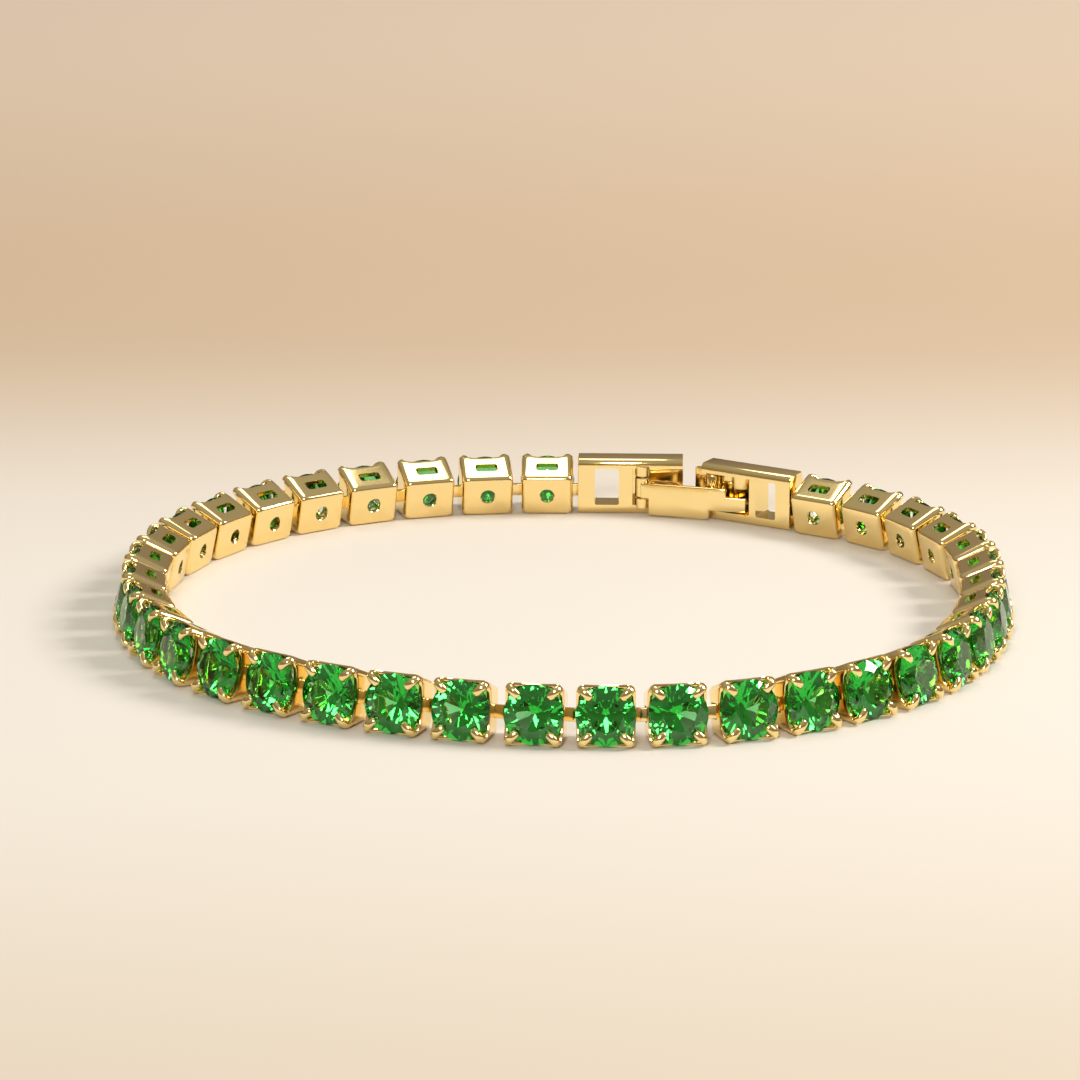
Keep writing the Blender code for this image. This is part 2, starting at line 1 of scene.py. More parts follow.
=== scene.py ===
"""The looks of a line bracelet of green stones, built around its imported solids.

Each link is a square gold basket with a scalloped rim, four claws and a flat T tongue, and
holds a round brilliant. A fold-over clasp joins the two ends: a catch frame, a hinge frame,
a lever and its pin. Every piece has its own axes: x runs along the chain, y is up and z
points out of the loop. The line y = 0, z = 0 is the line of the tongues. Sizes are in
millimetres in those axes, and meshes are made in metres.
"""

import json
import logging
import math
from dataclasses import dataclass, field
from enum import Enum

import bmesh
import bpy
from mathutils import Matrix, Vector

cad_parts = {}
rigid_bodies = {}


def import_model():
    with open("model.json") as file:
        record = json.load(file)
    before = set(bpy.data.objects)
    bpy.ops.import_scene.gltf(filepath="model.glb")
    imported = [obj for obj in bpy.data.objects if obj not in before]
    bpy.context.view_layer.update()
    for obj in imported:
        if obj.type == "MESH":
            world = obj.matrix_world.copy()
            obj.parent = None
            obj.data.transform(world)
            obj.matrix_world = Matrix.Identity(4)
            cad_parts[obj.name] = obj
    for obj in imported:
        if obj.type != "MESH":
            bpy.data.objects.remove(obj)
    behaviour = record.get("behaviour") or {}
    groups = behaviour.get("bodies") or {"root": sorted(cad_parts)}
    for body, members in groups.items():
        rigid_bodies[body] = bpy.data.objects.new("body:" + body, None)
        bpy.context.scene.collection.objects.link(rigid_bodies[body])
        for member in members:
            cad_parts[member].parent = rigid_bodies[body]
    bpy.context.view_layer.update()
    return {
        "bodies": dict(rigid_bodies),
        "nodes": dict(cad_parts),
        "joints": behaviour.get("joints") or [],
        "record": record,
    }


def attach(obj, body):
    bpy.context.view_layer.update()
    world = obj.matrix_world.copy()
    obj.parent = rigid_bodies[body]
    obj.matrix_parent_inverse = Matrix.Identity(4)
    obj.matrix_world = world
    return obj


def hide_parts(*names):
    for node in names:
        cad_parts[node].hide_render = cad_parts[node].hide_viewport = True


log = logging.getLogger("bracelet")

MM = 0.001
CHAIN = "chain"
LEVER = "lever"

LINK_SHARP = 38.0  # degrees; edges of a link sharper than this aren't shaded smooth
CLASP_SHARP = 35.0
LOWEST = 2e-6  # metres; corners this near to a solid's lowest level are on its lowest face
DIGITS = 7  # corners that are alike to this many digits count as one
SCALLOP_POWER = 4  # how flat the scallop of a basket's rim is in the middle of a side

Point = tuple[float, float, float]
Pair = tuple[float, float]
Colour = tuple[float, float, float]
Ring = list[Point]

# A claw's course. Columns: distance from the stone's axis, level, share of the width, of the
# thickness.
CLAW_PATH = [
    (2.16, 0.55, 0.60, 0.60),
    (2.30, 1.05, 0.74, 0.76),
    (2.42, 1.40, 0.94, 0.96),
    (2.44, 1.66, 1.00, 1.00),
    (2.35, 1.86, 1.00, 0.98),
    (2.19, 1.98, 1.00, 0.94),
    (2.02, 2.00, 1.00, 0.90),
    (1.86, 1.99, 1.00, 0.90),
    (1.72, 1.97, 0.99, 0.88),
    (1.62, 1.95, 0.92, 0.84),
    (1.55, 1.93, 0.76, 0.70),
    (1.51, 1.92, 0.48, 0.44),
]

# The dome of the clasp's post. Columns: share of the dome below its top, share of the radius.
POST_DOME = [(1.0, 1.0), (0.6, 0.92), (0.25, 0.72), (0.0, 0.36)]


class Cut(Enum):
    """What a Boolean does with its tool."""

    AWAY = "DIFFERENCE"
    JOIN = "UNION"


class Way(Enum):
    """Which way a round bar or a prism runs."""

    UP = "y"
    OUT = "z"


# Meshes


def add_object(name: str, data: bpy.types.ID) -> bpy.types.Object:
    """Makes an object of a mesh, a light or a camera, and puts it in the scene."""
    made = bpy.data.objects.new(name, data)
    bpy.context.scene.collection.objects.link(made)
    return made


def mesh_of(shape: bmesh.types.BMesh, name: str) -> bpy.types.Mesh:
    """Makes a mesh of a shape, and frees the shape."""
    mesh = bpy.data.meshes.new(name)
    shape.to_mesh(mesh)
    shape.free()
    return mesh


def object_from(name: str, rings: list[Ring]) -> bpy.types.Object:
    """Joins rings of equally many points into one surface, with a flat face at both ends.

    Args:
        name: The name of the new object.
        rings: The rings, in millimetres.

    Returns:
        The new object, its faces turned outwards.
    """
    shape = bmesh.new()
    made = [[shape.verts.new(Vector(point) * MM) for point in ring] for ring in rings]
    for first, second in zip(made, made[1:]):
        for k in range(len(first)):
            after = (k + 1) % len(first)
            shape.faces.new((first[k], first[after], second[after], second[k]))
    shape.faces.new(made[0])
    shape.faces.new(made[-1])
    bmesh.ops.recalc_face_normals(shape, faces=shape.faces)
    return add_object(name, mesh_of(shape, name))


def turn_to(way: Way, across: float, side: float, ahead: float) -> Point:
    """Orders three coordinates so that ahead lies along the given way."""
    return (across, ahead, side) if way is Way.UP else (across, side, ahead)


def box(name: str, low: Point, high: Point) -> bpy.types.Object:
    """A plain block.

    Args:
        name: The name of the new object.
        low: The corner with the least coordinates.
        high: The corner with the greatest.

    Returns:
        The new object.
    """
    (x0, y0, z0), (x1, y1, z1) = low, high
    rings = [[(x0, y0, z), (x1, y0, z), (x1, y1, z), (x0, y1, z)] for z in (z0, z1)]
    return object_from(name, rings)


def round_bar(
    name: str, centre: Pair, levels: list[Pair], way: Way, sides: int = 40,
) -> bpy.types.Object:
    """A turned bar.

    Args:
        name: The name of the new object.
        centre: The two coordinates of its axis.
        levels: Rows of a place along the axis and the radius there.
        way: The direction of its axis.
        sides: How many sides its rings have.

    Returns:
        The new object.
    """
    rings = []
    for ahead, radius in levels:
        turns = [2 * math.pi * (k + 0.5) / sides for k in range(sides)]
        rings.append([
            turn_to(way, centre[0] + radius * math.cos(a), centre[1] + radius * math.sin(a), ahead)
            for a in turns
        ])
    return object_from(name, rings)


def slot_cutter(
    name: str, centre: Pair, size: Pair, radius: float, ends: Pair, way: Way, steps: int = 5,
) -> bpy.types.Object:
    """A prism with rounded corners, which cuts a window.

    Args:
        name: The name of the new object.
        centre: The middle of its section.
        size: The section's length and width.
        radius: The radius of its corners.
        ends: Where it starts and ends along the way.
        way: The direction that it cuts in.
        steps: How many steps each corner has.

    Returns:
        The new object.
    """
    outline = rounded_outline(size[0] / 2, size[1] / 2, radius, steps)
    rings = [
        [turn_to(way, centre[0] + p.x, centre[1] + p.y, ahead) for p in outline]
        for ahead in ends
    ]
    return object_from(name, rings)


def apply_modifiers(piece: bpy.types.Object) -> None:
    """Leaves the piece with the mesh that its modifiers give, and with no modifiers.

    Args:
        piece: The object.
    """
    graph = bpy.context.evaluated_depsgraph_get()
    mesh = bpy.data.meshes.new_from_object(piece.evaluated_get(graph))
    piece.modifiers.clear()
    piece.data = mesh


def combine(base: bpy.types.Object, cut: Cut, *tools: bpy.types.Object) -> bpy.types.Object:
    """Joins each tool to the base or cuts it away, and removes the tools.

    Args:
        base: The object that is kept.
        cut: What each Boolean does.
        tools: The objects that it does it with.

    Returns:
        The base.
    """
    for tool in tools:
        step = base.modifiers.new(cut.name.lower(), "BOOLEAN")
        step.operation = cut.value
        step.solver = "EXACT"
        step.object = tool
    apply_modifiers(base)
    for tool in tools:
        bpy.data.objects.remove(tool)
    return base


def soften(piece: bpy.types.Object, width: float, segments: int, angle: float = 30.0) -> None:
    """Rounds every edge that is sharper than the angle.

    Args:
        piece: The object.
        width: How wide the rounding is, in millimetres.
        segments: How many strips it has.
        angle: The least angle of an edge that is rounded, in degrees.
    """
    bevel = piece.modifiers.new("edges", "BEVEL")
    bevel.width = width * MM
    bevel.segments = segments
    bevel.limit_method = "ANGLE"
    bevel.angle_limit = math.radians(angle)
    bevel.use_clamp_overlap = True
    apply_modifiers(piece)


def smooth(mesh: bpy.types.Mesh, angle: float) -> None:
    """Shades a mesh smooth, apart from the edges that are sharper than the angle."""
    mesh.shade_smooth()
    mesh.set_sharp_from_angle(angle=math.radians(angle))


def join(
    parts: list[bpy.types.Object], material: bpy.types.Material, angle: float,
) -> bpy.types.Mesh:
    """Puts several objects' meshes into one, and removes the objects.

    Args:
        parts: The objects.
        material: The material of the whole.
        angle: Edges sharper than this stay sharp, in degrees.

    Returns:
        The mesh.
    """
    shape = bmesh.new()
    for part in parts:
        shape.from_mesh(part.data)
    mesh = mesh_of(shape, parts[0].name)
    for part in parts:
        bpy.data.objects.remove(part)
    mesh.materials.clear()
    mesh.materials.append(material)
    smooth(mesh, angle)
    return mesh


@dataclass(frozen=True)
class OutlinePoint:
    """A point of a rounded rectangle.

    Attributes:
        x: Its place along the chain.
        y: Its height.
        on_top: How near it is to the middle of the top or bottom side, from 0 to 1.
        on_end: How near it is to the middle of an end, from 0 to 1.
    """

    x: float
    y: float
    on_top: float = 0.0
    on_end: float = 0.0


def rounded_outline(
    half_x: float, half_y: float, radius: float, corner_steps: int, side_steps: int = 1,
) -> list[OutlinePoint]:
    """A rectangle with round corners, anticlockwise from its right end.

    Args:
        half_x: Half its length.
        half_y: Half its height.
        radius: The radius of its corners.
        corner_steps: How many steps each corner has.
        side_steps: How many steps each side has between the corners.

    Returns:
        Its points.
    """
    points = []
    signs = [(1, 1), (-1, 1), (-1, -1), (1, -1)]
    for quarter, (side_x, side_y) in enumerate(signs):
        centre_x = side_x * (half_x - radius)
        centre_y = side_y * (half_y - radius)
        for step in range(corner_steps + 1):
            turn = (quarter + step / corner_steps) * math.pi / 2
            points.append(OutlinePoint(
                centre_x + radius * math.cos(turn), centre_y + radius * math.sin(turn),
            ))
        for step in range(1, side_steps):
            along = 1 - 2 * step / side_steps
            near = 1 - along ** SCALLOP_POWER
            if quarter % 2 == 0:
                points.append(OutlinePoint(centre_x * along, side_y * half_y, on_top=near))
            else:
                points.append(OutlinePoint(side_x * half_x, centre_y * along, on_end=near))
    return points


# Places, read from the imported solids


@dataclass(frozen=True)
class Place:
    """How a piece lies, seen from above.

    Attributes:
        middle: The middle of the rectangle round its lowest face.
        along: The direction of the chain there.
    """

    middle: Vector
    along: Vector

    @classmethod
    def of_node(cls, node: bpy.types.Object) -> "Place":
        """Reads the place from the lowest face of a solid.

        Args:
            node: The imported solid.

        Returns:
            Its place. The chain runs anticlockwise.
        """
        low = min(v.co.z for v in node.data.vertices)
        near = {
            (round(v.co.x, DIGITS), round(v.co.y, DIGITS))
            for v in node.data.vertices if v.co.z < low + LOWEST
        }
        points = [Vector(p) for p in near]
        middle = sum(points, Vector((0.0, 0.0))) / len(points)
        xx = sum((p.x - middle.x) ** 2 for p in points)
        yy = sum((p.y - middle.y) ** 2 for p in points)
        xy = sum((p.x - middle.x) * (p.y - middle.y) for p in points)
        turn = 0.5 * math.atan2(2 * xy, xx - yy)
        along = Vector((math.cos(turn), math.sin(turn)))
        outward = Vector((along.y, -along.x))
        if outward.dot(middle) < 0:
            along, outward = -along, -outward
        centre = Vector((0.0, 0.0))
        for axis in (along, outward):
            reach = [p.dot(axis) for p in points]
            centre += axis * (min(reach) + max(reach)) / 2
        return cls(centre, along)

    def matrix(self, ahead: float, out: float, height: float) -> Matrix:
        """The matrix from the piece's axes to the bracelet's.

        Args:
            ahead: The middle's x in the piece's axes, in millimetres.
            out: How far outwards the middle lies from the piece's origin.
            height: How high the piece's origin is, in millimetres.

        Returns:
            The matrix.
        """
        x = Vector((self.along.x, self.along.y, 0.0))
        y = Vector((0.0, 0.0, 1.0))
        z = x.cross(y)
        turn = Matrix((x, y, z)).transposed().to_4x4()
        middle = Vector((self.middle.x, self.middle.y, height * MM))
        return Matrix.Translation(middle - x * ahead * MM - z * out * MM) @ turn


def add_piece(
    name: str, mesh: bpy.types.Mesh, place: Matrix, body: str,
) -> bpy.types.Object:
    """Puts a mesh in its place as a piece that rides on a body.

    Args:
        name: The piece's name.
        mesh: Its mesh.
        place: Its matrix.
        body: The body that it rides on.

    Returns:
        The piece.
    """
    piece = add_object(name, mesh)
    piece.matrix_world = place
    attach(piece, body)
    return piece


# Finishes


def add_material(name: str) -> tuple[bpy.types.Material, bpy.types.Node]:
    """Makes a material, and gives it with its shader."""
    material = bpy.data.materials.new(name)
    material.use_nodes = True
    return material, material.node_tree.nodes["Principled BSDF"]


@dataclass(frozen=True)
class PolishedGold:
    """Yellow gold plate, polished bright and very slightly wavy.

    Attributes:
        name: The material's name.
        colour: The metal's colour.
        roughness: How much it spreads reflections.
        wave: How deep its slight waviness is, in metres.
        wave_size: How many waves it has per metre.
        wave_detail: How many finer layers of waves it has.
        wave_strength: How much of the waviness shows.
    """

    name: str = "polished_gold"
    colour: Colour = (1.0, 0.79, 0.37)
    roughness: float = 0.12
    wave: float = 0.000004
    wave_size: float = 900.0
    wave_detail: float = 2.0
    wave_strength: float = 0.6

    def make(self) -> bpy.types.Material:
        """Makes the material.

        Returns:
            The material.
        """
        material, shader = add_material(self.name)
        nodes, links = material.node_tree.nodes, material.node_tree.links
        shader.inputs["Base Color"].default_value = (*self.colour, 1.0)
        shader.inputs["Metallic"].default_value = 1.0
        shader.inputs["Roughness"].default_value = self.roughness
        place = nodes.new("ShaderNodeTexCoord")
        noise = nodes.new("ShaderNodeTexNoise")
        noise.inputs["Scale"].default_value = self.wave_size
        noise.inputs["Detail"].default_value = self.wave_detail
        bump = nodes.new("ShaderNodeBump")
        bump.inputs["Strength"].default_value = self.wave_strength
        bump.inputs["Distance"].default_value = self.wave
        links.new(place.outputs["Object"], noise.inputs["Vector"])
        links.new(noise.outputs["Fac"], bump.inputs["Height"])
        links.new(bump.outputs["Normal"], shader.inputs["Normal"])
        return material


@dataclass(frozen=True)
class GreenCrystal:
    """A clear deep green cut stone.

    Attributes:
        name: The material's name.
        index: Its refractive index.
        surface: The colour that its surface lets through.
        tint: The colour that is left of light after crossing it.
        density: How fast it takes the colour on, per metre.
    """

    name: str = "green_crystal"
    index: float = 1.66
    surface: Colour = (0.93, 1.0, 0.95)
    tint: Colour = (0.07, 0.87, 0.27)
    density: float = 800.0

    def make(self) -> bpy.types.Material:
        """Makes the material.

        Returns:
            The material.
        """
        material, shader = add_material(self.name)
        nodes, links = material.node_tree.nodes, material.node_tree.links
        shader.inputs["Base Color"].default_value = (*self.surface, 1.0)
        shader.inputs["Roughness"].default_value = 0.0
        shader.inputs["Transmission Weight"].default_value = 1.0
        shader.inputs["IOR"].default_value = self.index
        depth = nodes.new("ShaderNodeVolumeAbsorption")
        depth.inputs["Color"].default_value = (*self.tint, 1.0)
        depth.inputs["Density"].default_value = self.density
        links.new(depth.outputs["Volume"], nodes["Material Output"].inputs["Volume"])
        return material


@dataclass(frozen=True)
class PaleFloor:
    """The cream surface that the bracelet stands on, plain apart from painted shade away from its
    lit middle.

    Attributes:
        name: The material's name.
        front: Its colour before the bracelet, darker as painted shade.
        middle: Its colour round the bracelet.
        shade_behind: Its colour at the back of the bracelet, a darker tan as painted shade.
        far: Its colour farther back, darker than the middle as painted shade.
        span: The y where its change of colour starts and ends, in metres.
        roughness: How much it spreads reflections.
    """

    name: str = "pale_floor"
    # Every colour but the middle is darker than it as painted shade.
    front: Colour = (0.65, 0.575, 0.47)
    middle: Colour = (0.79, 0.765, 0.725)
    shade_behind: Colour = (0.52, 0.365, 0.21)
    far: Colour = (0.70, 0.585, 0.475)
    span: Pair = (-0.12, 0.28)
    roughness: float = 0.9

    def make(self) -> bpy.types.Material:
        """Makes the material, with painted shade that makes it a little darker before and at the
        back of the bracelet.

        Returns:
            The material.
        """
        material, shader = add_material(self.name)
        nodes, links = material.node_tree.nodes, material.node_tree.links
        shader.inputs["Roughness"].default_value = self.roughness
        place = nodes.new("ShaderNodeTexCoord")
        split = nodes.new("ShaderNodeSeparateXYZ")
        share = nodes.new("ShaderNodeMapRange")
        share.inputs["From Min"].default_value = self.span[0]
        share.inputs["From Max"].default_value = self.span[1]
        ramp = nodes.new("ShaderNodeValToRGB")
        ramp.color_ramp.interpolation = "B_SPLINE"
        # The darker stops paint shade onto the floor before and at the back of the bracelet.
        # Columns: share of the span, the colour there.
        stops = [
            (0.08, self.front),
            (0.20, self.middle),
            (0.38, self.middle),
            (0.50, self.shade_behind),
            (0.75, self.far),
        ]
        while len(ramp.color_ramp.elements) < len(stops):
            ramp.color_ramp.elements.new(0.5)
        for element, (position, colour) in zip(ramp.color_ramp.elements, stops):
            element.position = position
            element.color = (*colour, 1.0)
        links.new(place.outputs["Object"], split.inputs["Vector"])
        links.new(split.outputs["Y"], share.inputs["Value"])
        links.new(share.outputs["Result"], ramp.inputs["Fac"])
        links.new(ramp.outputs["Color"], shader.inputs["Base Color"])
        return material


# The stone


@dataclass
class BrilliantStone:
    """A round brilliant: its table faces z, and its girdle stands on the basket's rim."""

    diameter: float = 4.0
    table_share: float = 0.56
    girdle_low: float = 1.50
    girdle_thickness: float = 0.08
    table_level: float = 2.12
    pavilion_depth: float = 1.68
    star_share: float = 0.5
    lower_half_share: float = 0.74
    sides: int = 8

    def level_on(self, radius: float, turn: float, rise: float, reach: float) -> float:
        """How high a main facet's plane lies above the girdle.

        Args:
            radius: The distance from the stone's axis.
            turn: The angle from the facet's middle.
            rise: How high the plane rises over its reach.
            reach: The distance over which it rises, inwards from the girdle.

        Returns:
            The height, which is 0 at the girdle in the facet's middle.
        """
        return rise * (self.diameter / 2 - radius * math.cos(turn)) / reach

    def mesh(self) -> bpy.types.Mesh:
        """Builds the facets: table, stars, kites, halves, girdle, mains and lower halves.

        Returns:
            The mesh.
        """
        radius = self.diameter / 2
        table = self.table_share * radius
        half = math.pi / self.sides
        girdle_high = self.girdle_low + self.girdle_thickness
        crown = self.table_level - girdle_high
        star = table * math.cos(half) + self.star_share * (radius - table * math.cos(half))
        star_level = girdle_high + self.level_on(star, half, crown, radius - table)
        lower = (1 - self.lower_half_share) * radius
        lower_level = self.girdle_low - self.level_on(lower, half, self.pavilion_depth, radius)

        def at(reach: float, turns: float, level: float) -> Point:
            """A point at so many half facets round the axis."""
            return reach * math.cos(turns * half), reach * math.sin(turns * half), level

        def between(inner: Point, first: Point, last: Point, turns: float) -> Point:
            """The point at the girdle's radius, in the plane of three points of a half facet."""
            a, b, c = (Vector(p) for p in (inner, first, last))
            normal = (b - a).cross(c - a)
            x, y, _ = at(radius, turns, 0.0)
            return x, y, a.z - (normal.x * (x - a.x) + normal.y * (y - a.y)) / normal.z

        tables = [at(table, 2 * k, self.table_level) for k in range(self.sides)]
        stars = [at(star, 2 * k + 1, star_level) for k in range(self.sides)]
        lowers = [at(lower, 2 * k + 1, lower_level) for k in range(self.sides)]
        upper, under = [], []
        for k in range(2 * self.sides):
            inner = (k // 2) % self.sides
            for ring, points, level in (
                (upper, stars, girdle_high), (under, lowers, self.girdle_low),
            ):
                first, last = at(radius, k, level), at(radius, k + 1, level)
                ring.append(first)
                ring.append(between(points[inner], first, last, k + 0.5))
        shape = bmesh.new()

        def verts(points: list[Point]) -> list[bmesh.types.BMVert]:
            """Adds the points to the shape."""
            return [shape.verts.new(Vector(p) * MM) for p in points]

        tables, stars, lowers, upper, under = map(verts, (tables, stars, lowers, upper, under))
        culet = shape.verts.new(Vector((0.0, 0.0, self.girdle_low - self.pavilion_depth)) * MM)
        shape.faces.new(tables)
        count = len(upper)
        for k in range(self.sides):
            after = (k + 1) % self.sides
            rim = 4 * k
            shape.faces.new((tables[k], stars[k], tables[after]))
            shape.faces.new((tables[k], stars[k - 1], upper[rim], stars[k]))
            shape.faces.new((culet, lowers[k - 1], under[rim], lowers[k]))
            for start in (rim, rim + 2):
                run = [(start + j) % count for j in range(3)]
                shape.faces.new((stars[k], *(upper[j] for j in run)))
                shape.faces.new((lowers[k], *(under[j] for j in run)))
        for k in range(count):
            after = (k + 1) % count
            shape.faces.new((upper[k], upper[after], under[after], under[k]))
        bmesh.ops.recalc_face_normals(shape, faces=shape.faces)
        return mesh_of(shape, "stone")


# A link


@dataclass
class StoneLink:
    """One basket with its claws and tongue, and the stone that it holds."""

    gold: bpy.types.Material
    crystal: bpy.types.Material
    stone: BrilliantStone = field(default_factory=BrilliantStone)
    length: float = 3.9
    height: float = 4.2
    back: float = -1.10
    rim: float = 1.50
    wall: float = 0.32
    floor: float = -0.75
    shoulder: float = -0.72
    shoulder_length: float = 3.8
    shoulder_height: float = 3.2
    back_length: float = 3.18
    back_height: float = 2.58
    back_radius: float = 0.30
    shoulder_radius: float = 0.40
    rim_radius: float = 0.55
    rim_round: float = 0.07
    top_bow: float = 0.04
    top_dip: float = 0.22
    end_dip: float = 0.32
    hole_diameter: float = 1.0
    hole_flare: float = 0.06
    window: Pair = (1.65, 0.80)
    window_radius: float = 0.22
    window_level: float = 0.15
    claw_inset: float = 0.18
    claw_width: float = 0.56
    claw_thickness: float = 0.42
    claw_squareness: float = 0.8
    claw_sides: int = 14
    tongue_height: float = 0.92
    tongue_thickness: float = 0.30
    tongue_head_height: float = 1.5
    tongue_head_length: float = 0.32
    tongue_reach: float = 1.30
    tongue_edge: float = 0.05
    slot_height: float = 1.1
    slot_width: float = 0.9
    corner_steps: int = 7
    side_steps: int = 12
    back_steps: int = 5
    wall_steps: int = 7

    def lean(self) -> float:
        """The slope of the lower wall, on which the link rests, in radians."""
        return math.atan2((self.height - self.shoulder_height) / 2, self.rim - self.shoulder)

    def line_height(self) -> float:
        """How high the line of the tongues lies above the floor."""
        lean = self.lean()
        return self.shoulder_height / 2 * math.cos(lean) - self.shoulder * math.sin(lean)

    def wall_middle(self) -> float:
        """How far outwards the middle of the lower wall lies from the line of the tongues."""
        lean = self.lean()
        return ((self.rim + self.shoulder) / 2 * math.cos(lean)
                + (self.height + self.shoulder_height) / 4 * math.sin(lean))

    def ring(
        self, half_x: float, half_y: float, radius: float, level: float, rise: float = 0.0,
    ) -> Ring:
        """One section of the basket.

        Args:
            half_x: Half its length.
            half_y: Half its height, at the corners.
            radius: The radius of its corners.
            level: Its depth.
            rise: How far up the wall it lies, from 0 at the shoulder to 1 at the rim, which
                sets how much of the rim's scallop it has.

        Returns:
            The section's points.
        """
        outline = rounded_outline(half_x, half_y, radius, self.corner_steps, self.side_steps)
        points = []
        for p in outline:
            bow = self.top_bow * rise * p.on_top
            dip = (self.top_dip * p.on_top + self.end_dip * p.on_end) * rise
            points.append((p.x, p.y - math.copysign(bow, p.y), level - dip))
        return points

    def cup(self) -> bpy.types.Object:
        """The open basket, before anything is cut through it.

        Returns:
            The basket, from its back up the outside, over the rim and down to its floor.
        """
        rings = []
        last_turn = math.pi / 2 - self.lean()
        for step in range(self.back_steps + 1):
            turn = step / self.back_steps * last_turn
            out = math.sin(turn) / math.sin(last_turn)
            up = (1 - math.cos(turn)) / (1 - math.cos(last_turn))
            rings.append(self.ring(
                (self.back_length + (self.shoulder_length - self.back_length) * out) / 2,
                (self.back_height + (self.shoulder_height - self.back_height) * out) / 2,
                self.back_radius + (self.shoulder_radius - self.back_radius) * out,
                self.back + (self.shoulder - self.back) * up,
            ))
        for step in range(1, self.wall_steps + 1):
            rise = step / self.wall_steps
            level = self.shoulder + (self.rim - self.rim_round - self.shoulder) * rise
            share = (level - self.shoulder) / (self.rim - self.shoulder)
            rings.append(self.ring(
                (self.shoulder_length + (self.length - self.shoulder_length) * share) / 2,
                (self.shoulder_height + (self.height - self.shoulder_height) * share) / 2,
                self.shoulder_radius + (self.rim_radius - self.shoulder_radius) * rise,
                level, rise,
            ))
        half_x, half_y = self.length / 2, self.height / 2
        # Columns: how far in from the wall's outside, how far below the rim's top.
        edges = [
            (0.25 * self.rim_round, 0.25 * self.rim_round),
            (self.rim_round, 0.0),
            (self.wall - self.rim_round, 0.0),
            (self.wall - 0.3 * self.rim_round, 0.3 * self.rim_round),
        ]
        for inset, below in edges:
            rings.append(self.ring(half_x - inset, half_y - inset, self.rim_radius - inset,
                                   self.rim - below, 1.0))
        # Columns: half the length, half the height, level, share of the way to the rim.
        inside = [
            (half_x - self.wall, half_y - self.wall, self.rim - 2 * self.rim_round, 1.0),
            ((self.shoulder_length / 2 + half_x) / 2 - self.wall,
             (self.shoulder_height / 2 + half_y) / 2 - self.wall,
             (self.shoulder + self.rim) / 2, 0.5),
            (self.shoulder_length / 2 - self.wall, self.shoulder_height / 2 - self.wall,
             self.floor, 0.0),
        ]
        for reach_x, reach_y, level, rise in inside:
            rings.append(self.ring(reach_x, reach_y, self.rim_radius - self.wall, level, rise))
        return object_from("basket", rings)

    def claw(self, side_x: int, side_y: int) -> bpy.types.Object:
        """A bar that rises from a corner and bends over the stone's crown.

        Args:
            side_x: 1 for the end that the tongue leaves, otherwise -1.
            side_y: 1 for the top, otherwise -1.

        Returns:
            The claw.
        """
        corner = Vector((side_x * (self.length / 2 - self.claw_inset),
                         side_y * (self.height / 2 - self.claw_inset), 0.0))
        inward = Vector((-side_x, -side_y, 0.0)).normalized()
        across = Vector((-inward.y, inward.x, 0.0))
        far = corner.length
        spine = [corner + inward * (far - reach) + Vector((0.0, 0.0, level))
                 for reach, level, _, _ in CLAW_PATH]
        rings = []
        for k, (_, _, wide, thick) in enumerate(CLAW_PATH):
            ahead = (spine[min(k + 1, len(spine) - 1)] - spine[max(k - 1, 0)]).normalized()
            outer = across.cross(ahead).normalized()
            ring = []
            for step in range(self.claw_sides):
                turn = 2 * math.pi * step / self.claw_sides
                c, s = math.cos(turn), math.sin(turn)
                power = self.claw_squareness
                flat = math.copysign(abs(c) ** power, c) * self.claw_width / 2 * wide
                tall = math.copysign(abs(s) ** power, s) * self.claw_thickness / 2 * thick
                ring.append(tuple(spine[k] + across * flat + outer * tall))
            rings.append(ring)
        return object_from("claw", rings)

    def tongue(self) -> bpy.types.Object:
        """The flat T that hooks this link to the next.

        Returns:
            The tongue.
        """
        high, thick = self.tongue_height / 2, self.tongue_thickness / 2
        neck_end = self.length / 2 + self.tongue_reach
        head_end = neck_end + self.tongue_head_length
        head = self.tongue_head_height / 2
        start = (self.shoulder_length - self.wall) / 2
        outline = [(start, -high), (neck_end, -high), (neck_end, -head), (head_end, -head),
                   (head_end, head), (neck_end, head), (neck_end, high), (start, high)]
        plate = object_from("tongue", [[(x, y, z) for x, y in outline] for z in (-thick, thick)])
        soften(plate, self.tongue_edge, segments=2)
        return plate

    def setting_mesh(self) -> bpy.types.Mesh:
        """The basket with its windows, claws and tongue.

        Returns:
            The mesh.
        """
        basket = self.cup()
        hole = self.hole_diameter / 2
        flare = self.hole_flare
        out_of_back = round_bar("hole", (0.0, 0.0), [
            (self.back - flare, hole + 2 * flare), (self.back + flare, hole),
            (self.floor - flare, hole), (self.floor + flare, hole + 2 * flare),
        ], Way.OUT)
        windows = slot_cutter("windows", (0.0, self.window_level), self.window, self.window_radius,
                              (-self.height, self.height), Way.UP)
        entry = box("entry", (-self.length, -self.slot_height / 2, -self.slot_width / 2),
                    (-self.shoulder_length / 2 + 2 * self.wall, self.slot_height / 2,
                     self.slot_width / 2))
        combine(basket, Cut.AWAY, out_of_back, windows, entry)
        parts = [basket, self.tongue()]
        parts += [self.claw(x, y) for x in (1, -1) for y in (1, -1)]
        return join(parts, self.gold, LINK_SHARP)

    def build(self, nodes: dict[str, bpy.types.Object]) -> None:
        """Puts a dressed link in place of every packed one.

        Args:
            nodes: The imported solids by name.
        """
        setting = self.setting_mesh()
        cut_stone = self.stone.mesh()
        cut_stone.materials.append(self.crystal)
        for mesh in (setting, cut_stone):
            mesh.transform(Matrix.Rotation(-self.lean(), 4, "X"))
        names = sorted(name for name in nodes if name.startswith("stone_link"))
        for name in names:
            place = Place.of_node(nodes[name]).matrix(0.0, self.wall_middle(), self.line_height())
            number = name.rsplit("_", 1)[1]
            piece = add_piece(f"setting_{number}", setting, place, CHAIN)
            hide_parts(name)
            add_piece(f"stone_{number}", cut_stone, place, CHAIN)
        log.info("%d links, each %d and %d faces", len(names), len(setting.polygons),
                 len(cut_stone.polygons))


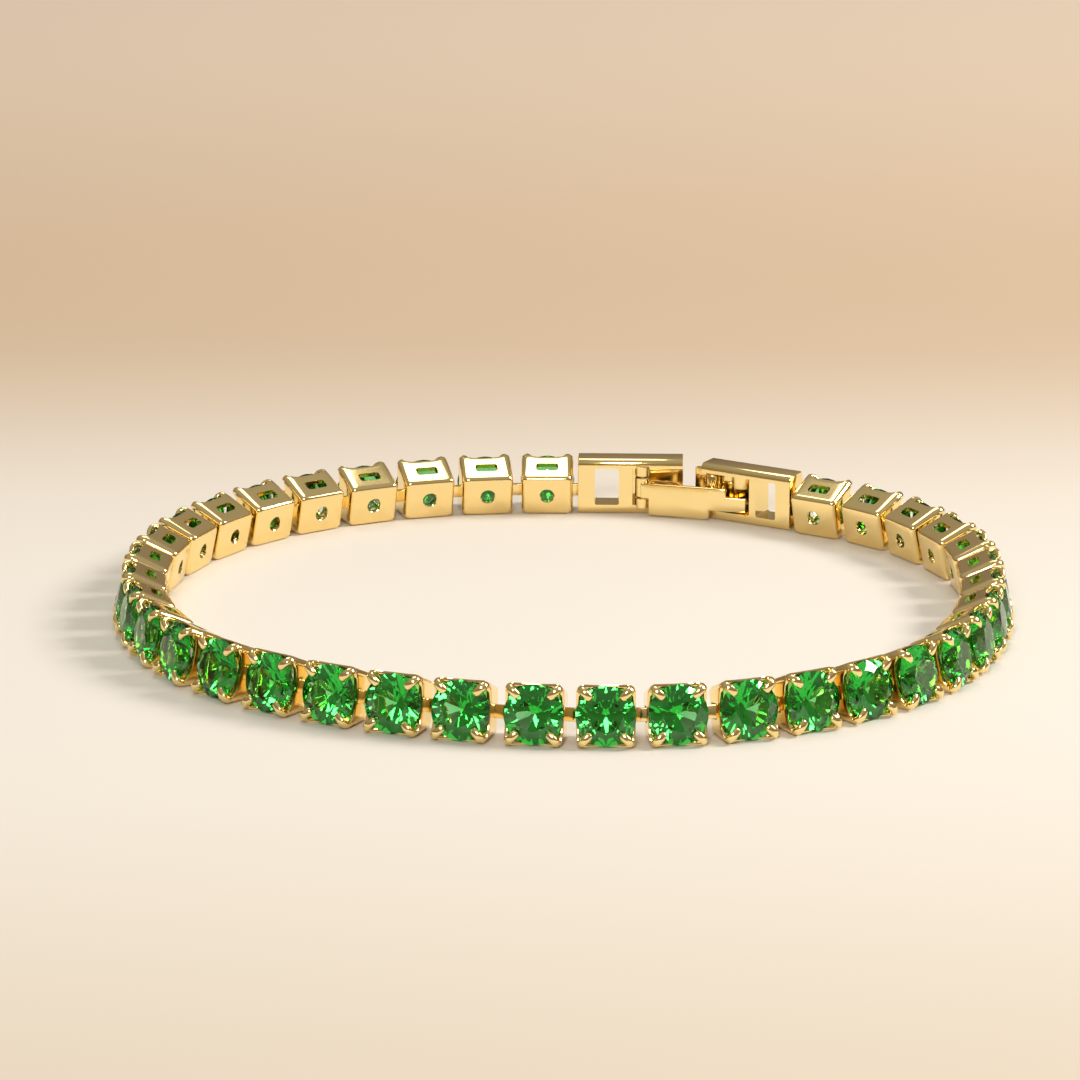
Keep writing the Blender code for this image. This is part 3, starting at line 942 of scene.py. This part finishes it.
@dataclass
class FoldClasp:
    """The chain's two open end frames, and the lever that folds over and holds them together.

    Each frame's axes start at its joint with the link beside it, and the lever's on its pin.
    """

    gold: bpy.types.Material
    link: StoneLink
    half_height: float = 2.1
    inner_face: float = -0.60
    outer_face: float = 1.40
    rail_inside: float = 1.40
    cover: float = 0.35
    inner_round: Pair = (0.52, 0.46)
    outer_round: Pair = (0.24, 0.24)
    end_round: float = 0.07
    round_steps: int = 7
    catch_ends: Pair = (0.175, 7.675)
    catch_window: Pair = (1.375, 3.025)
    catch_trough: float = 3.575
    hinge_ends: Pair = (-7.975, -0.175)
    hinge_window: Pair = (-3.225, -1.425)
    hinge_trough: float = -4.225
    window_radius: float = 0.16
    trough_past: float = 1.0  # how far the cutter of a channel runs past the frame's end
    chamber: Pair = (0.85, 0.35)  # half the height and depth of the room for a tongue's head
    sill: tuple[float, float, float, float] = (5.475, 8.875, 0.70, 1.16)
    inside_gap: float = 0.06
    edge: float = 0.08  # the rounding of the sill, the post and the lugs
    post_place: Pair = (7.125, 0.24)
    post_radius: float = 0.55
    dome: float = 0.28
    stop_place: Pair = (4.575, 0.20)
    stop_radius: float = 0.80
    stop_ends: Pair = (0.45, 1.60)
    stop_edges: Pair = (0.05, 0.16)
    pin_place: Pair = (-4.975, -0.375)
    lug_ends: Pair = (0.80, 1.55)
    barrel_radius: float = 0.55
    barrel_edge: float = 0.06
    bore: float = 0.255
    bore_sides: int = 24
    pin_radius: float = 0.225
    pin_edge: float = 0.04
    pin_gap: float = 0.03
    plate_end: float = -6.52
    plate_levels: Pair = (-0.725, -0.375)
    plate_span: Pair = (-2.0, 0.40)
    plate_edge: float = 0.09
    step_start: float = -5.22
    step_lap: float = 0.35
    tab_end: float = -8.02
    tab_span: Pair = (-1.34, -0.24)
    lip: tuple[float, float, float] = (-6.22, -5.87, 0.475)
    lip_low: float = -1.0
    root: float = 0.15  # how deep the lip and the leaf start in the plate
    cutter_reach: float = 2.0
    leaf_start: float = -2.2
    leaf_radius: float = 0.925
    leaf_thickness: float = 0.30
    leaf_edge: float = 0.05
    leaf_sharp: float = 50.0
    leaf_steps: int = 12
    leaf_end: float = 0.8  # where the leaf ends in the barrel, as a share of its radius
    lever_middle: Pair = (-2.915, -0.55)
    closer: float = 0.30

    def section(self, x: float, inset: float) -> Ring:
        """A frame's section.

        Args:
            x: Where it lies along the chain.
            inset: How far it is drawn in.

        Returns:
            The section's points.
        """
        points = []
        middle = (self.inner_face + self.outer_face) / 2
        half_depth = (self.outer_face - self.inner_face) / 2
        for quarter, (side_z, side_y) in enumerate([(1, 1), (-1, 1), (-1, -1), (1, -1)]):
            reach_y, reach_z = self.outer_round if side_z > 0 else self.inner_round
            for step in range(self.round_steps + 1):
                turn = (quarter + step / self.round_steps) * math.pi / 2
                y = side_y * (self.half_height - reach_y) + (reach_y - inset) * math.sin(turn)
                z = side_z * (half_depth - reach_z) + (reach_z - inset) * math.cos(turn)
                points.append((x, y, middle + z))
        return points

    def bar(self, name: str, ends: Pair) -> bpy.types.Object:
        """A solid bar of the frames' section with rounded ends."""
        start, end = ends
        edge = self.end_round
        # Columns: how far from the bar's end, how far drawn in.
        steps = [(0.0, edge), (0.3 * edge, 0.3 * edge), (edge, 0.0)]
        rings = [self.section(start + ahead, inset) for ahead, inset in steps]
        rings += [self.section(end - ahead, inset) for ahead, inset in reversed(steps)]
        return object_from(name, rings)

    def window(self, ends: Pair) -> bpy.types.Object:
        """A cutter for the window between two uprights."""
        middle, length = (ends[0] + ends[1]) / 2, ends[1] - ends[0]
        return slot_cutter("window", (middle, 0.0), (length, 2 * self.rail_inside),
                           self.window_radius, (-self.half_height, self.half_height), Way.OUT)

    def trough(self, ends: Pair) -> bpy.types.Object:
        """A cutter for the channel that is open inwards and covered outside."""
        return box("trough", (ends[0], -self.rail_inside, -self.half_height),
                   (ends[1], self.rail_inside, self.outer_face - self.cover))

    def beside_link(self, piece: bpy.types.Object) -> bpy.types.Object:
        """Lowers and leans a tongue or its cutter as the link beside the clasp lies."""
        drop = self.half_height - self.link.line_height()
        piece.data.transform(Matrix.Translation((0.0, -drop * MM, 0.0))
                             @ Matrix.Rotation(-self.link.lean(), 4, "X"))
        return piece

    def catch_mesh(self) -> bpy.types.Mesh:
        """The last link's end, with its post, sill and round stop.

        Returns:
            The mesh.
        """
        start, end = self.catch_ends
        frame = self.bar("catch", self.catch_ends)
        link = self.link
        entry = box("entry", (-link.wall, -link.slot_height / 2, -link.slot_width / 2),
                    (start + 2 * link.wall, link.slot_height / 2, link.slot_width / 2))
        high, deep = self.chamber
        chamber = box("chamber", (start + link.wall, -high, -deep),
                      (self.catch_window[0] + link.wall, high, deep))
        combine(frame, Cut.AWAY, self.window(self.catch_window),
                self.trough((self.catch_trough, end + self.trough_past)),
                self.beside_link(entry), self.beside_link(chamber))
        reach = self.rail_inside - self.inside_gap
        x0, x1, z0, z1 = self.sill
        sill = box("sill", (x0, -reach, z0), (x1, reach, z1))
        soften(sill, self.edge, segments=3)
        radius = self.post_radius
        foot = [(-reach, radius - self.edge), (self.edge - reach, radius)]
        dome = [(reach - below * self.dome, share * radius) for below, share in POST_DOME]
        post = round_bar("post", self.post_place, foot + dome, Way.UP)
        low, high = self.stop_ends
        near, far = self.stop_edges
        wide = self.stop_radius
        stop = round_bar("stop", self.stop_place, [
            (low, wide - far), (low + near, wide - near), (low + far, wide), (high, wide),
        ], Way.UP)
        return join([frame, sill, post, stop], self.gold, CLASP_SHARP)

    def hinge_mesh(self) -> bpy.types.Mesh:
        """The first link's end, with its tongue and the lugs that carry the pin.

        Returns:
            The mesh.
        """
        start, end = self.hinge_ends
        frame = self.bar("hinge", self.hinge_ends)
        combine(frame, Cut.AWAY, self.window(self.hinge_window),
                self.trough((start - self.trough_past, self.hinge_trough)))
        low, high = self.lug_ends
        radius, edge = self.barrel_radius, self.edge
        lugs = [
            round_bar("lug", self.pin_place, [
                (side * low, radius - edge), (side * (low + edge), radius), (side * high, radius),
            ], Way.UP)
            for side in (1, -1)
        ]
        tongue = self.link.tongue()
        shift = (end - self.link.length / 2 - self.closer) * MM
        tongue.data.transform(Matrix.Translation((shift, 0.0, 0.0)))
        return join([frame, *lugs, self.beside_link(tongue)], self.gold, CLASP_SHARP)

    def rounded_bar(self, name: str, end: float, radius: float, edge: float) -> bpy.types.Object:
        """A bar round the lever's axis that ends at the same height above and below."""
        return round_bar(name, (0.0, 0.0), [
            (-end, radius - edge), (edge - end, radius), (end - edge, radius), (end, radius - edge),
        ], Way.UP)

    def pin_mesh(self) -> bpy.types.Mesh:
        """The hinge pin."""
        end = self.rail_inside - self.pin_gap
        pin = self.rounded_bar("pin", end, self.pin_radius, self.pin_edge)
        return join([pin], self.gold, CLASP_SHARP)

    def leaf(self) -> bpy.types.Object:
        """The spring leaf, which rises from the plate in a quarter turn and runs to the barrel.

        Returns:
            The leaf.
        """
        steps = self.leaf_steps
        face = self.plate_levels[1]
        profiles = []
        for radius in (self.leaf_radius, self.leaf_radius - self.leaf_thickness):
            turns = [math.pi * (1 - k / (2 * steps)) for k in range(steps + 1)]
            profile = [(self.leaf_start - radius, face - self.root)]
            profile += [(self.leaf_start + radius * math.cos(a), face + radius * math.sin(a))
                        for a in turns]
            profile.append((0.0, face + radius))
            profiles.append(profile)
        outline = profiles[0] + profiles[1][::-1]
        leaf = object_from("leaf", [[(x, y, z) for x, z in outline]
                                    for y in (self.lip_low, self.plate_span[1])])
        soften(leaf, self.leaf_edge, segments=2, angle=self.leaf_sharp)
        return leaf

    def notches(self) -> list[bpy.types.Object]:
        """Cutters that make room for the two lugs, above and below the barrel."""
        room = self.barrel_radius + self.inside_gap
        end = self.lug_ends[0] - self.inside_gap
        far = self.cutter_reach
        return [box("notch", (-room, low, -far), (room, high, far))
                for low, high in ((end, far), (-far, -end))]

    def lever_mesh(self) -> bpy.types.Mesh:
        """The fold-over plate with its tab, lip, spring leaf and barrel.

        Returns:
            The mesh.
        """
        low, high = self.plate_levels
        bottom, top = self.plate_span
        far = self.cutter_reach
        plate = box("plate", (self.step_start, bottom, low), (0.0, top, high))
        step = box("step", (self.plate_end, self.tab_span[0], low),
                   (self.step_start + self.step_lap, top, high))
        tab = box("tab", (self.tab_end, self.tab_span[0], low),
                  (self.lip[1], self.tab_span[1], high))
        combine(plate, Cut.JOIN, step, tab)
        combine(plate, Cut.AWAY, *self.notches())
        soften(plate, self.plate_edge, segments=3)
        lip = box("lip", (self.lip[0], self.lip_low, low + self.root),
                  (self.lip[1], top, self.lip[2]))
        soften(lip, self.plate_edge, segments=3)
        barrel_end = self.lug_ends[0] - self.inside_gap
        barrel = self.rounded_bar("barrel", barrel_end, self.barrel_radius, self.barrel_edge)
        hole = round_bar("bore", (0.0, 0.0), [(-far, self.bore), (far, self.bore)], Way.UP,
                         self.bore_sides)
        combine(barrel, Cut.AWAY, hole)
        leaf = self.leaf()
        middle = box("barrel_room", (-self.barrel_radius * self.leaf_end, -barrel_end, -far),
                     (self.barrel_radius + self.inside_gap, barrel_end, far))
        combine(leaf, Cut.AWAY, *self.notches(), middle)
        return join([plate, lip, barrel, leaf], self.gold, CLASP_SHARP)

    def build(self, nodes: dict[str, bpy.types.Object]) -> None:
        """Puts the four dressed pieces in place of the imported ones.

        Args:
            nodes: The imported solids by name.
        """
        half = self.half_height
        depth = (self.inner_face + self.outer_face) / 2
        catch = Place.of_node(nodes["catch_frame"]).matrix(sum(self.catch_ends) / 2, depth, half)
        hinge = Place.of_node(nodes["hinge_frame"]).matrix(sum(self.hinge_ends) / 2, depth, half)
        lever = Place.of_node(nodes["clasp_lever"]).matrix(*self.lever_middle, half)
        rows = [
            ("catch_frame", "open_catch_frame", self.catch_mesh(), catch, CHAIN),
            ("hinge_frame", "open_hinge_frame", self.hinge_mesh(), hinge, CHAIN),
            ("hinge_pin", "lever_pin", self.pin_mesh(), lever, CHAIN),
            ("clasp_lever", "fold_over_lever", self.lever_mesh(), lever, LEVER),
        ]
        for node, name, mesh, place, body in rows:
            piece = add_piece(name, mesh, place, body)
            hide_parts(node)
            log.info("%s: %d faces", name, len(mesh.polygons))


# The studio


@dataclass(frozen=True)
class SoftLight:
    """A soft square light that faces the bracelet.

    Attributes:
        name: Its name.
        azimuth: Its direction from the bracelet, 0 along +Y and 90 along +X, in degrees.
        elevation: Its angle above the floor, in degrees.
        distance: Its distance in metres.
        size: Its side in metres.
        power: Its power in watts.
        colour: Its colour.
    """

    name: str
    azimuth: float
    elevation: float
    distance: float
    size: float
    power: float
    colour: Colour = (1.0, 0.94, 0.86)

    def hang(self) -> None:
        """Puts the light in its place."""
        data = bpy.data.lights.new(self.name, "AREA")
        data.size = self.size
        data.energy = self.power
        data.color = self.colour
        lamp = add_object(self.name, data)
        turn, rise = math.radians(self.azimuth), math.radians(self.elevation)
        away = Vector((math.sin(turn) * math.cos(rise), math.cos(turn) * math.cos(rise),
                       math.sin(rise)))
        lamp.location = away * self.distance
        lamp.rotation_euler = away.to_track_quat("Z", "Y").to_euler()


LIGHTS = (
    SoftLight("key", 84.0, 38.0, 0.6, 0.20, 2.9),
    SoftLight("overhead", -10.0, 72.0, 0.8, 0.40, 1.6),
    SoftLight("front", 188.0, 34.0, 0.6, 0.16, 1.3),
)


@dataclass
class Studio:
    """The floor, the surroundings, the lights and the camera."""

    look_at: Point = (-0.001626, 0.019940, 0.0)
    distance: float = 0.440
    elevation: float = 15.95
    lens: float = 200.05
    sensor: float = 36.0
    clip: Pair = (0.01, 20.0)
    floor_size: float = 3.0
    sky_low: Colour = (0.52, 0.38, 0.24)
    sky_high: Colour = (1.0, 0.93, 0.82)
    sky_full: float = 0.8
    sky_strength: float = 0.38

    def camera(self) -> None:
        """Sets the camera at the photograph's angle."""
        data = bpy.data.cameras.new("camera")
        data.sensor_width = self.sensor
        data.lens = self.lens
        data.clip_start, data.clip_end = self.clip
        camera = add_object("camera", data)
        angle = math.radians(self.elevation)
        back = Vector((0.0, -math.cos(angle), math.sin(angle))) * self.distance
        camera.location = Vector(self.look_at) + back
        camera.rotation_euler = (math.pi / 2 - angle, 0.0, 0.0)
        bpy.context.scene.camera = camera

    def floor(self) -> None:
        """Lays the floor."""
        half = self.floor_size / 2
        mesh = bpy.data.meshes.new("floor")
        mesh.from_pydata([(-half, -half, 0), (half, -half, 0), (half, half, 0), (-half, half, 0)],
                         [], [(0, 1, 2, 3)])
        mesh.materials.append(PaleFloor().make())
        floor = add_object("floor", mesh)

    def sky(self) -> None:
        """A warm grey surrounding, brighter overhead than near the horizon."""
        world = bpy.data.worlds.new("surrounding")
        world.use_nodes = True
        nodes, links = world.node_tree.nodes, world.node_tree.links
        place = nodes.new("ShaderNodeTexCoord")
        split = nodes.new("ShaderNodeSeparateXYZ")
        ramp = nodes.new("ShaderNodeValToRGB")
        ramp.color_ramp.elements[0].color = (*self.sky_low, 1.0)
        ramp.color_ramp.elements[1].color = (*self.sky_high, 1.0)
        ramp.color_ramp.elements[1].position = self.sky_full
        links.new(place.outputs["Generated"], split.inputs["Vector"])
        links.new(split.outputs["Z"], ramp.inputs["Fac"])
        links.new(ramp.outputs["Color"], nodes["Background"].inputs["Color"])
        nodes["Background"].inputs["Strength"].default_value = self.sky_strength
        bpy.context.scene.world = world

    def build(self) -> None:
        """Sets up everything round the bracelet."""
        self.camera()
        self.floor()
        self.sky()
        for light in LIGHTS:
            light.hang()
        bpy.context.scene.view_settings.view_transform = "Standard"
        log.info("studio ready")


def main() -> None:
    """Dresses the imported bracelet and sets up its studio."""
    logging.basicConfig(level=logging.INFO)
    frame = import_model()
    gold = PolishedGold().make()
    link = StoneLink(gold, GreenCrystal().make())
    link.build(frame["nodes"])
    FoldClasp(gold, link).build(frame["nodes"])
    Studio().build()


if __name__ == "__main__":
    main()
